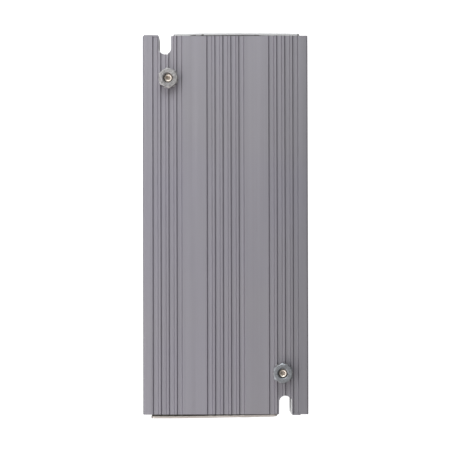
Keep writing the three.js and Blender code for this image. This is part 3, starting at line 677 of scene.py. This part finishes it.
def housing_piece():
    """The ribbed extrusion: its outline, sawn ends, hollows, screw ports, lips, bolt holes and slots."""
    y0, y1 = Y_MIDDLE - END, Y_MIDDLE + END
    piece = prism_y("housing", profile(), y0, y1)
    wide, above = HALF_WIDTH + CUT_PAST, TOP + CUT_PAST
    plan = rounded_rect(-wide, wide, y0, y1, CORNER_ROUND + CUT_PAST)
    side_view = [
        (y0, -CUT_PAST), (y1, -CUT_PAST), (y1, TOP - SAWN_CHAMFER), (y1 - SAWN_CHAMFER, TOP),
        (y1 - SAWN_CHAMFER, above), (y0 + SAWN_CHAMFER, above), (y0 + SAWN_CHAMFER, TOP),
        (y0, TOP - SAWN_CHAMFER),
    ]
    wider = wide + CUT_PAST
    ends = loft("ends", [[(x, y, z) for y, z in side_view] for x in (-wider, wider)])
    boolean(piece, [prism_z("plan", plan, -CUT_PAST, above), ends], "INTERSECT")
    long = (y0 - CUT_PAST, y1 + CUT_PAST)
    hollow = [block("bay", (-BAY_HALF, BAY_HALF), long, (BACK_WALL, TOP - TOP_WALL))]
    for start, stop in CHANNEL_CELLS:
        for span in ((start, stop), (-stop, -start)):
            hollow.append(block("channel", span, long, (BACK_WALL, TOP - TOP_WALL)))
    boolean(piece, hollow)
    inset = 0.02
    ports = [rod("port", PORT["radius"], y0 + inset, y1 - inset, (x, 0, z)) for x, z in PORTS]
    boolean(piece, ports + [end_lip(corner) for corner in SIDES], "UNION")
    holes = [rod("hole", PORT["hole"], *long, (x, 0, z), 20) for x, z in PORTS]
    reach = BOARD_GUIDE["reach"]
    holes.append(block("guides", (-reach, reach), long, (BOARD_GUIDE["low"], BOARD_GUIDE["high"])))
    sink = [
        (0, -CUT_PAST), (BOLT_SINK, -CUT_PAST), (BOLT_SINK, 0),
        (EARTH_HOLE, BOLT_SINK - EARTH_HOLE), (EARTH_HOLE, above), (0, above),
    ]
    for corner in SIDES:
        holes.append(turned("sink", sink, "Z", (*plan_centre(f"earth_bolt_{corner}"), 0)))
        holes.append(slot_cutter(corner))
    boolean(piece, holes)
    tidy(piece)
    smooth(piece)
    settle(piece, "housing", "housing_extrusion", "extrusion")
    bare_cuts(piece)


# ---------------------------------------------------------------- earth bolts, washers and nuts

def threaded(name, at, rows, segments=64):
    """A closed round solid whose radius follows a right-hand thread. Rows are (z, root, crest)."""
    x0, y0 = at
    bm = bmesh.new()
    rings = []
    for z, root, crest in rows:
        ring = []
        for i in range(segments):
            angle = 2 * math.pi * i / segments
            phase = (z / THREAD["pitch"] - i / segments) % 1.0
            wave = max(0.0, 1 - abs(phase - 0.5) / THREAD["flank"])
            radius = root + (crest - root) * wave
            ring.append(bm.verts.new((x0 + radius * math.cos(angle), y0 + radius * math.sin(angle), z)))
        rings.append(ring)
    for low, high in zip(rings, rings[1:]):
        for i in range(segments):
            j = (i + 1) % segments
            bm.faces.new((low[i], low[j], high[j], high[i]))
    bm.faces.new(rings[0])
    bm.faces.new(rings[-1])
    return object_from(name, bm)


def thread_rows(z0, z1, root, crest, steps_a_turn=10):
    """Evenly spaced rows for threaded()."""
    count = max(2, round((z1 - z0) / THREAD["pitch"] * steps_a_turn))
    return [(z0 + (z1 - z0) * i / count, root, crest) for i in range(count + 1)]


def bolt_piece(corner):
    """A countersunk bolt, its thread standing up out of the top wall and its tip pitted."""
    node = f"earth_bolt_{corner}"
    at = plan_centre(node)
    low, high = box_mm(node)
    head = (high.x - low.x) / 2
    shank, tip, tip_z = BOLT["shank"], BOLT["tip"], high.z
    root, crest = THREAD["bolt_root"], THREAD["bolt_crest"]
    start = TOP - BOLT["thread_start"]
    rows = [
        (low.z, head - 0.1, head - 0.1), (low.z + 0.15, head, head),
        (low.z + 0.3, head - 0.05, head - 0.05), (low.z + head - shank, shank, shank),
        (start - 0.5, shank, shank), (start - 0.1, root, root),
    ]
    rows += thread_rows(start, tip_z - 0.75, root, crest)
    rows += [(tip_z - BOLT["point"], root, root), (tip_z - 0.1, tip + 0.1, tip + 0.1), (tip_z, tip, tip)]
    piece = threaded(f"bolt_{corner}", at, rows)
    outline = shifted(hexagon(BOLT["drive"]), *at)
    drive = prism_z("drive", outline, low.z - CUT_PAST, low.z + BOLT["drive_depth"])
    pit = turned("pit", [(r, tip_z + h) for r, h in BOLT_PIT], "Z", (*at, 0), 40)
    boolean(piece, [drive, pit])
    tidy(piece)
    smooth(piece, 38)
    settle(piece, "housing", node, "yellow_zinc")


def washer_piece(corner):
    """An external-tooth washer: each tooth is twisted, one flank up and one down."""
    node = f"earth_washer_{corner}"
    x0, y0 = plan_centre(node)
    low, high = box_mm(node)
    middle = (low.z + high.z) / 2
    teeth, share, half = WASHER["teeth"], WASHER["tooth_share"], WASHER["thickness"] / 2
    steps = 8
    bm = bmesh.new()
    rings = []
    for i in range(teeth * steps):
        angle = 2 * math.pi * i / (teeth * steps)
        part = (i % steps) / steps
        on_tooth = part < share
        tip = WASHER["tip"] if on_tooth else WASHER["root"]
        lean = WASHER["twist"] * (2 * part / share - 1) if on_tooth else 0.0
        ring = []
        stations = [(WASHER["inner"], 0.0), (WASHER["root"] - 0.1, 0.0), (tip, lean)]
        for radius, offset in stations:
            ring.append((radius, middle + offset + half))
        for radius, offset in reversed(stations):
            ring.append((radius, middle + offset - half))
        rings.append([
            bm.verts.new((x0 + r * math.cos(angle), y0 + r * math.sin(angle), z)) for r, z in ring
        ])
    for here, there in zip(rings, rings[1:] + rings[:1]):
        for k in range(len(here)):
            m = (k + 1) % len(here)
            bm.faces.new((here[k], here[m], there[m], there[k]))
    piece = object_from(f"washer_{corner}", bm)
    smooth(piece, 30)
    settle(piece, node, node, "zinc")


def nut_piece(corner):
    """A hexagon nut with turned-down corners and a threaded bore, coned at both mouths."""
    node = f"earth_nut_{corner}"
    at = plan_centre(f"earth_washer_{corner}")
    low, high = box_mm(node)
    bottom, top = low.z, high.z
    turn = NUT["turn"][corner]
    blank = prism_z(f"nut_{corner}", shifted(hexagon(NUT["flats"], turn, NUT["edge"]), *at), bottom, top)
    flat = NUT["flats"] / 2 - 0.1
    corner_radius = NUT["flats"] / math.sqrt(3) + 0.05
    drop = (corner_radius - flat) * math.tan(math.radians(NUT["chamfer"]))
    shoulder = [
        (0, bottom), (flat - 0.1, bottom), (flat, bottom + 0.04), (corner_radius, bottom + drop),
        (corner_radius, top - drop), (flat, top - 0.04), (flat - 0.1, top), (0, top),
    ]
    boolean(blank, [turned("shoulder", shoulder, "Z", (*at, 0), 72)], "INTERSECT")
    root, crest = THREAD["nut_root"], THREAD["nut_crest"]
    mouth = root + NUT["mouth"]
    rows = [(bottom - CUT_PAST, mouth, mouth), (bottom, mouth, mouth), (bottom + 0.5, crest, crest)]
    rows += thread_rows(bottom + 0.55, top - 0.55, root, crest)
    rows += [(top - 0.5, crest, crest), (top, mouth, mouth), (top + CUT_PAST, mouth, mouth)]
    boolean(blank, [threaded("bore", at, rows)])
    tidy(blank)
    smooth(blank, 28)
    settle(blank, node, node, "zinc", NUT["finish"][corner])


# ---------------------------------------------------------------- end plates, gaskets and screws

def to_end(kind, x, out, z):
    """A point of an end's own frame (slot on -X, out along +Y) in the part's frame."""
    direction = ENDS[kind]
    return Vector((direction * x, Y_MIDDLE + direction * (END + out), z))


def sag(kind, x):
    """How far the sheet of an end plate is pulled in at x, in its end's own frame."""
    if kind == "ac":
        middle = (PLATE["slot_edge"] + PLATE["reach"]) / 2
        half = (PLATE["reach"] - PLATE["slot_edge"]) / 2
        return BOW["ac_depth"] * ((x - middle) / half) ** 2
    return BOW["dc_slope"] * max(0.0, BOW["dc_start"] - x)


def pressed(kind, x):
    """How far the inner face of a plate is pressed into its gasket at x, by the screws beyond the bay."""
    if kind == "dc":
        return 0.0
    share = min(1.0, max(0.0, (abs(x) - PRESSED["start"]) / PRESSED["ramp"]))
    return PRESSED["depth"] * share * share * (3 - 2 * share)


def thinned(kind, x):
    """The share of its thickness that a plate keeps at x, where its edge is drawn down."""
    span = PLATE["drawn"][kind]
    in_from_edge = min(1.0, max(0.0, (x - PLATE["slot_edge"]) / span))
    least = PLATE["edge_share"]
    return least + (1 - least) * math.sqrt(1 - (1 - in_from_edge) ** 2)


def own_place(kind, node):
    """A node's middle in x and z, its half width in x, and its rear and front, in its end's own frame."""
    low, high = box_mm(node)
    rear, front = sorted(abs(y - Y_MIDDLE) - END for y in (low.y, high.y))
    return ENDS[kind] * (low.x + high.x) / 2, (low.z + high.z) / 2, (high.x - low.x) / 2, rear, front


def end_levels(kind):
    """(gasket thickness, inner face, outer face) of an end, out from the extrusion."""
    *_, inner, outer = own_place(kind, f"end_plate_{kind}")
    return inner - 0.05, inner, outer


def place_end(piece, kind, bend=True):
    """Moves a piece from its end's own frame into the part's frame, bending it with the sheet."""
    _, inner, outer = end_levels(kind)
    with editing(piece) as bm:
        for vert in bm.verts:
            x, out, z = vert.co / MM
            if bend:
                depth = (out - inner) / (outer - inner)
                pulled = sag(kind, x) + (1 - depth) * pressed(kind, x)
                out = max(SHEET_GAP, inner + (out - inner) * thinned(kind, x) - pulled)
            vert.co = to_end(kind, x, out, z) * MM


def set_in_end(piece, kind, node, slot, degrees=35):
    """Finishes a rigid piece of an end, such as a socket, and rides it on the housing."""
    place_end(piece, kind, bend=False)
    smooth(piece, degrees)
    settle(piece, "housing", node, slot)


def subdivide_along_x(piece, step):
    """Cuts a sheet across X every step, so that it can bend."""
    with editing(piece) as bm:
        low = min(v.co.x for v in bm.verts)
        high = max(v.co.x for v in bm.verts)
        count = int((high - low) / (step * MM))
        for i in range(1, count):
            at = low + (high - low) * i / count
            parts = list(bm.verts) + list(bm.edges) + list(bm.faces)
            bmesh.ops.bisect_plane(bm, geom=parts, dist=1e-7, plane_co=(at, 0, 0), plane_no=(1, 0, 0))


def screw_places():
    """The ports that an end plate covers, as (x, z)."""
    return [(x, z) for x, z in PORTS if x > PLATE["slot_edge"]]


def fittings(kind):
    """Each round fitting of a plate, as the (x, z, radius) of its neck in the end's own frame."""
    socket = SOCKETS[kind]["body"]
    radii = {
        "ac": {"ac_socket": socket, "vent_plug": VENT["neck"]},
        "dc": {
            "dc_socket_positive": socket, "dc_socket_negative": socket,
            "status_light_pipe": LIGHT_PIPE["neck"],
        },
    }[kind]
    found = []
    for node, radius in radii.items():
        x, z, *_ = own_place(kind, node)
        found.append((x, z, radius))
    return found


def plate_piece(kind):
    """A pressed end plate with a rounded outer edge, countersinks and windows for its fittings."""
    _, inner, outer = end_levels(kind)
    rings = []
    soft, ease = PLATE["round"], PLATE["inner_ease"]
    steps = 5
    levels = [(inner, ease), (inner + ease, 0.0)]
    for i in range(steps + 1):
        angle = math.pi / 2 * i / steps
        levels.append((outer - soft + soft * math.sin(angle), soft * (1 - math.cos(angle))))
    for out, inset in levels:
        outline = rounded_rect(
            PLATE["slot_edge"] + inset, PLATE["reach"] - inset,
            PLATE["low"] + inset, PLATE["high"] - inset, PLATE["corner"] - inset, 6,
        )
        rings.append([(x, out, z) for x, z in outline])
    piece = loft(f"plate_{kind}", rings)
    behind, front = inner - CUT_PAST, outer + CUT_PAST
    wide = SCREW["head"] + 0.1
    narrow = wide - (outer - inner)
    sink = [(0, behind), (narrow, behind), (narrow, inner), (wide, outer), (wide, front), (0, front)]
    tools = [turned("sink", sink, "Y", (x, 0, z)) for x, z in screw_places()]
    for x, z, radius in fittings(kind):
        tools.append(rod("window", radius + WINDOW_GAP, behind, front, (x, 0, z), 48))
    boolean(piece, tools)
    subdivide_along_x(piece, 0.8)
    place_end(piece, kind)
    smooth(piece, 35)
    settle(piece, "housing", f"end_plate_{kind}", "plate", PLATE["finish"][kind])


def gasket_piece(kind):
    """A foam frame squeezed between the plate and the extrusion, its upper edge wavy."""
    thickness, _, _ = end_levels(kind)
    inset, near, high = GASKET["inset"], GASKET["near"], PLATE["high"]
    rng = random.Random(SEED + len(kind) + ENDS[kind])
    outline = rounded_rect(
        PLATE["slot_edge"] + inset, PLATE["reach"] - inset,
        PLATE["low"] + inset, high - inset, GASKET["corner"],
    )
    piece = prism_y(f"gasket_{kind}", outline, near, thickness)
    through = (-CUT_PAST, thickness + CUT_PAST)
    tools = [prism_y("window", rounded_rect(*GASKET["window"]), *through)]
    tools += [rod("hole", GASKET["hole"], *through, (x, 0, z)) for x, z in screw_places()]
    boolean(piece, tools)
    spills = []
    for start, stop, reach in GASKET_SPILLS[kind]:
        outline = rounded_rect(start, stop, 0.05, reach, 0.15)
        spills.append(prism_z("spill", outline, high - 1, high + 0.3))
    if spills:
        boolean(piece, spills, "UNION")
    subdivide_along_x(piece, 2.0)
    phases = [rng.uniform(0, 6.28) for _ in range(3)]
    back = near / 2
    with editing(piece) as bm:
        for vert in bm.verts:
            x, out, z = vert.co / MM
            room = max(SHEET_GAP, thickness + SHEET_GAP - sag(kind, x) - pressed(kind, x))
            share = (out - near) / (thickness - near)
            wave = sum(math.sin(x * k + p) for k, p in zip(GASKET["ripples"], phases)) / len(phases)
            lift = GASKET["wave"] * wave * max(0.0, (z - high + 2) / 2)
            vert.co = to_end(kind, x, back + share * (room - back), z + lift) * MM
    smooth(piece, 35)
    settle(piece, "housing", f"gasket_{kind}", "gasket")


def screw_piece(kind, number):
    """A flat countersunk screw with a hexagon drive, turned at random."""
    node = f"end_screw_{kind}_{number}"
    x, z, *_ = own_place(kind, node)
    _, _, outer = end_levels(kind)
    top = outer - sag(kind, x) - SCREW["sink"]
    head, shank, tip = SCREW["head"], SCREW["shank"], top - SCREW["length"]
    profile_points = [
        (0, tip), (shank - 0.5, tip), (shank, tip + 1),
        (shank, top - (head - shank)), (head - 0.12, top - 0.14), (head, top - 0.08),
        (head - 0.06, top - 0.01), (head - 0.2, top), (0, top),
    ]
    piece = turned(node.replace("end_screw", "screw"), profile_points, "Y", (x, 0, z), 40)
    turn = random.Random(SEED + number + 7 * ENDS[kind]).uniform(0, 60)
    drive = [(dx + x, dz + z) for dx, dz in hexagon(SCREW["drive"], turn)]
    boolean(piece, [prism_y("drive", drive, top - SCREW["drive_depth"], top + CUT_PAST)])
    set_in_end(piece, kind, node, "zinc", 30)


# ---------------------------------------------------------------- sockets, contacts, vent, light pipe, label

def socket_piece(kind, node):
    """A moulded socket: a flange behind the plate, a bore with a seal groove, and keyways in its rim."""
    x, z, flange, rear, front = own_place(kind, node)
    _, inner, _ = end_levels(kind)
    size = SOCKETS[kind]
    body, bore, floor_out = size["body"], size["bore"], front - size["depth"]
    back = inner - 0.1
    profile_points = [
        (0, rear), (body - 0.8, rear), (body - 0.25, rear + 0.25), (body, rear + 0.8), (body, back - 1.6),
        (flange - 0.15, back - 1.6), (flange, back - 1.45), (flange, back), (body, back), (body, front - 0.3),
        (body - 0.1, front - 0.08), (body - 0.3, front), (bore + 0.45, front), (bore + 0.1, front - 0.15),
        (bore, front - 0.5), (bore, front - 3.2), (bore + 0.35, front - 3.4), (bore + 0.35, front - 4.4),
        (bore, front - 4.6), (bore, floor_out + 0.3), (bore - 0.3, floor_out), (0, floor_out),
    ]
    piece = turned(node, profile_points, "Y", (x, 0, z), 64)
    tools = []
    for angle in size["keys"]:
        reach = bore + KEYWAY["out"]
        turn = math.radians(angle)
        at = (x + reach * math.cos(turn), 0, z + reach * math.sin(turn))
        tools.append(rod("key", KEYWAY["radius"], front - KEYWAY["length"], front + CUT_PAST, at, 16))
    tools += [
        rod("passage", radius + 0.04, rear - CUT_PAST, floor_out + CUT_PAST, (px, 0, pz), 24)
        for px, pz, radius in contact_places(kind, x)
    ]
    boolean(piece, tools)
    set_in_end(piece, kind, node, "black_plastic")


def contact_nodes(kind):
    """The nodes of an end's contacts."""
    return {
        "ac": ("ac_pin_live", "ac_pin_neutral", "ac_pin_earth"),
        "dc": ("dc_pin_positive", "dc_pin_negative"),
    }[kind]


def contact_places(kind, near_x):
    """The (x, z, radius) of each contact inside the socket at near_x."""
    found = []
    for node in contact_nodes(kind):
        x, _, radius, _, _ = own_place(kind, node)
        _, high = box_mm(node)
        if abs(x - near_x) < SOCKETS[kind]["bore"]:
            found.append((x, high.z - radius, radius))
    return found


def contact_piece(kind, node):
    """A turned contact with a rounded nose and a collar, and its solder tail down to the board."""
    x, _, radius, rear, front = own_place(kind, node)
    low, high = box_mm(node)
    z = high.z - radius
    nose = list(arc((0, front - radius), radius, 0, 90, 8))
    collar = front - 5.0
    profile_points = [(0, rear), (radius - 0.15, rear), (radius, rear + 0.15), (radius, collar - 0.8)]
    profile_points += [(radius * 0.82, collar - 0.6), (radius * 0.82, collar), (radius * 0.9, collar + 0.2)]
    profile_points += [(r * 0.9, out) for r, out in nose[:-1]] + [(0, front)]
    piece = turned(node.replace("pin", "contact"), profile_points, "Y", (x, 0, z), 32)
    half = radius * 0.6
    tail = prism_y("tail", rounded_rect(x - half, x + half, low.z, z, half * 0.4), rear, rear + 2 * half)
    boolean(piece, [tail], "UNION")
    set_in_end(piece, kind, node, "contact")


def vent_piece():
    """The pressure vent: a dished cap with a ring of breather holes round a raised centre."""
    kind, node = "ac", "vent_plug"
    x, z, flange, rear, front = own_place(kind, node)
    _, inner, _ = end_levels(kind)
    neck, back = VENT["neck"], inner - 0.1
    profile_points = [
        (0, rear), (neck - 0.4, rear), (neck, rear + 0.4), (neck, back - 1.4), (flange - 0.15, back - 1.4),
        (flange, back - 1.25), (flange, back), (neck, back), (neck, front - 0.25), (neck - 0.25, front),
        (neck - 0.6, front), (neck - 0.85, front - 0.2), (neck - 1.0, front - 0.6),
        (1.3, front - 0.6), (1.1, front - 0.35), (0.8, front - 0.25), (0, front - 0.25),
    ]
    piece = turned(node, profile_points, "Y", (x, 0, z), 64)
    tools = []
    for i in range(VENT["holes"]):
        angle = 2 * math.pi * i / VENT["holes"]
        at = (x + VENT["circle"] * math.cos(angle), 0, z + VENT["circle"] * math.sin(angle))
        tools.append(rod("breather", VENT["hole"], front - 2, front + CUT_PAST, at, 16))
    boolean(piece, tools)
    set_in_end(piece, kind, node, "black_plastic")


def light_pipe_piece():
    """The clear rod that carries the status light out through the plate, its face domed."""
    kind, node = "dc", "status_light_pipe"
    x, z, flange, rear, front = own_place(kind, node)
    _, inner, _ = end_levels(kind)
    neck, back, rise = LIGHT_PIPE["neck"], inner - 0.1, LIGHT_PIPE["dome"]
    angles = [math.pi / 16 * step for step in range(8)]
    dome = [(neck * math.cos(angle), front - rise + rise * math.sin(angle)) for angle in angles]
    profile_points = [
        (0, rear), (neck - 0.2, rear), (neck, rear + 0.2), (neck, back - 1.2), (flange - 0.1, back - 1.2),
        (flange, back - 1.1), (flange, back), (neck, back), *dome, (0, front),
    ]
    piece = turned(node, profile_points, "Y", (x, 0, z), 48)
    set_in_end(piece, kind, node, "clear_plastic")


def label_piece():
    """A blank foil label in its recess, its edge rolled down a little."""
    low, high = box_mm("rating_label")
    rings = []
    for z, inset in ((high.z, 0.0), (low.z + 0.06, 0.0), (low.z, 0.12)):
        outline = rounded_rect(low.x + inset, high.x - inset, low.y + inset, high.y - inset, 2.0, 8)
        rings.append([(x, y, z) for x, y in outline])
    piece = loft("rating_label_foil", rings)
    smooth(piece, 40)
    settle(piece, "housing", "rating_label", "label")


# ---------------------------------------------------------------- floor, light and camera

def floor():
    """A wide flat floor that glows, so that it stays white round the object."""
    reach, level = 6.0, -0.0002
    mesh = bpy.data.meshes.new("floor")
    corners = [(-reach, -reach), (reach, -reach), (reach, reach), (-reach, reach)]
    mesh.from_pydata([(x, y, level) for x, y in corners], [], [(0, 1, 2, 3)])
    piece = link("floor", mesh)
    nodes = Nodes("floor", 0.9)
    nodes.shader.inputs["Base Color"].default_value = (0.4, 0.4, 0.4, 1)
    nodes.shader.inputs["Emission Color"].default_value = (1, 1, 1, 1)
    nodes.shader.inputs["Emission Strength"].default_value = 0.96
    mesh.materials.append(nodes.material)
    piece.visible_glossy = False


def area_light(name, at, target, size, power, color=(1, 1, 1)):
    """A square lamp at a place, turned towards the target. Lengths are in metres here."""
    data = bpy.data.lights.new(name, "AREA")
    data.shape = "SQUARE"
    data.size = size
    data.energy = power
    data.color = color
    lamp = link(name, data)
    lamp.location = at
    lamp.rotation_euler = (Vector(target) - Vector(at)).to_track_quat("-Z", "Y").to_euler()
    lamp.visible_camera = False


def studio():
    """A faint even sky, two lamps along Y and two from the left."""
    world = bpy.data.worlds.new("studio")
    world.use_nodes = True
    background = world.node_tree.nodes["Background"]
    background.inputs["Color"].default_value = (1.0, 1.0, 1.0, 1)
    background.inputs["Strength"].default_value = 0.22
    bpy.context.scene.world = world
    bpy.context.scene.view_settings.view_transform = "Standard"
    middle = (0, 0, 0.02)
    area_light("back", (0.0, 0.8, 0.8), middle, 0.6, 4.1, (0.945, 1.0, 1.015))
    area_light("front", (0.0, -0.8, 0.8), middle, 0.6, 1.05, (1.05, 1.0, 0.95))
    area_light("left_front", (-0.45, -0.35, 0.6), middle, 0.8, 3.22)
    area_light("left_back", (-0.45, 0.45, 0.6), middle, 0.8, 2.68)


PIXELS = 450
MM_PER_PIXEL = 0.5452
CAMERA_HEIGHT = 1200.0
CAMERA_OFFSET = (-10.0, -20.0)
AIM = (-0.25, 0.2)
LEAN = 0.125


def camera():
    """Looks almost straight down on the ribbed face, from a little off its middle."""
    data = bpy.data.cameras.new("camera")
    data.sensor_width = 36
    data.lens = data.sensor_width * CAMERA_HEIGHT / (PIXELS * MM_PER_PIXEL)
    piece = link("camera", data)
    aside, along = CAMERA_OFFSET
    piece.location = Vector((AIM[0] + aside, AIM[1] + along, TOP + CAMERA_HEIGHT)) * MM
    tilt = Matrix.Rotation(-math.atan(along / CAMERA_HEIGHT), 3, "X")
    tilt = Matrix.Rotation(math.atan(aside / CAMERA_HEIGHT), 3, "Y") @ tilt
    piece.rotation_euler = (tilt @ Matrix.Rotation(math.radians(-LEAN), 3, "Z")).to_euler()
    bpy.context.scene.camera = piece


# ---------------------------------------------------------------- everything

camera()
housing_piece()
for corner_name in SIDES:
    bolt_piece(corner_name)
    washer_piece(corner_name)
    nut_piece(corner_name)
for end_name in ENDS:
    plate_piece(end_name)
    gasket_piece(end_name)
    for screw_number in range(1, SCREWS_AN_END + 1):
        screw_piece(end_name, screw_number)
    for contact_node in contact_nodes(end_name):
        contact_piece(end_name, contact_node)
socket_piece("ac", "ac_socket")
socket_piece("dc", "dc_socket_positive")
socket_piece("dc", "dc_socket_negative")
vent_piece()
light_pipe_piece()
label_piece()
floor()
studio()
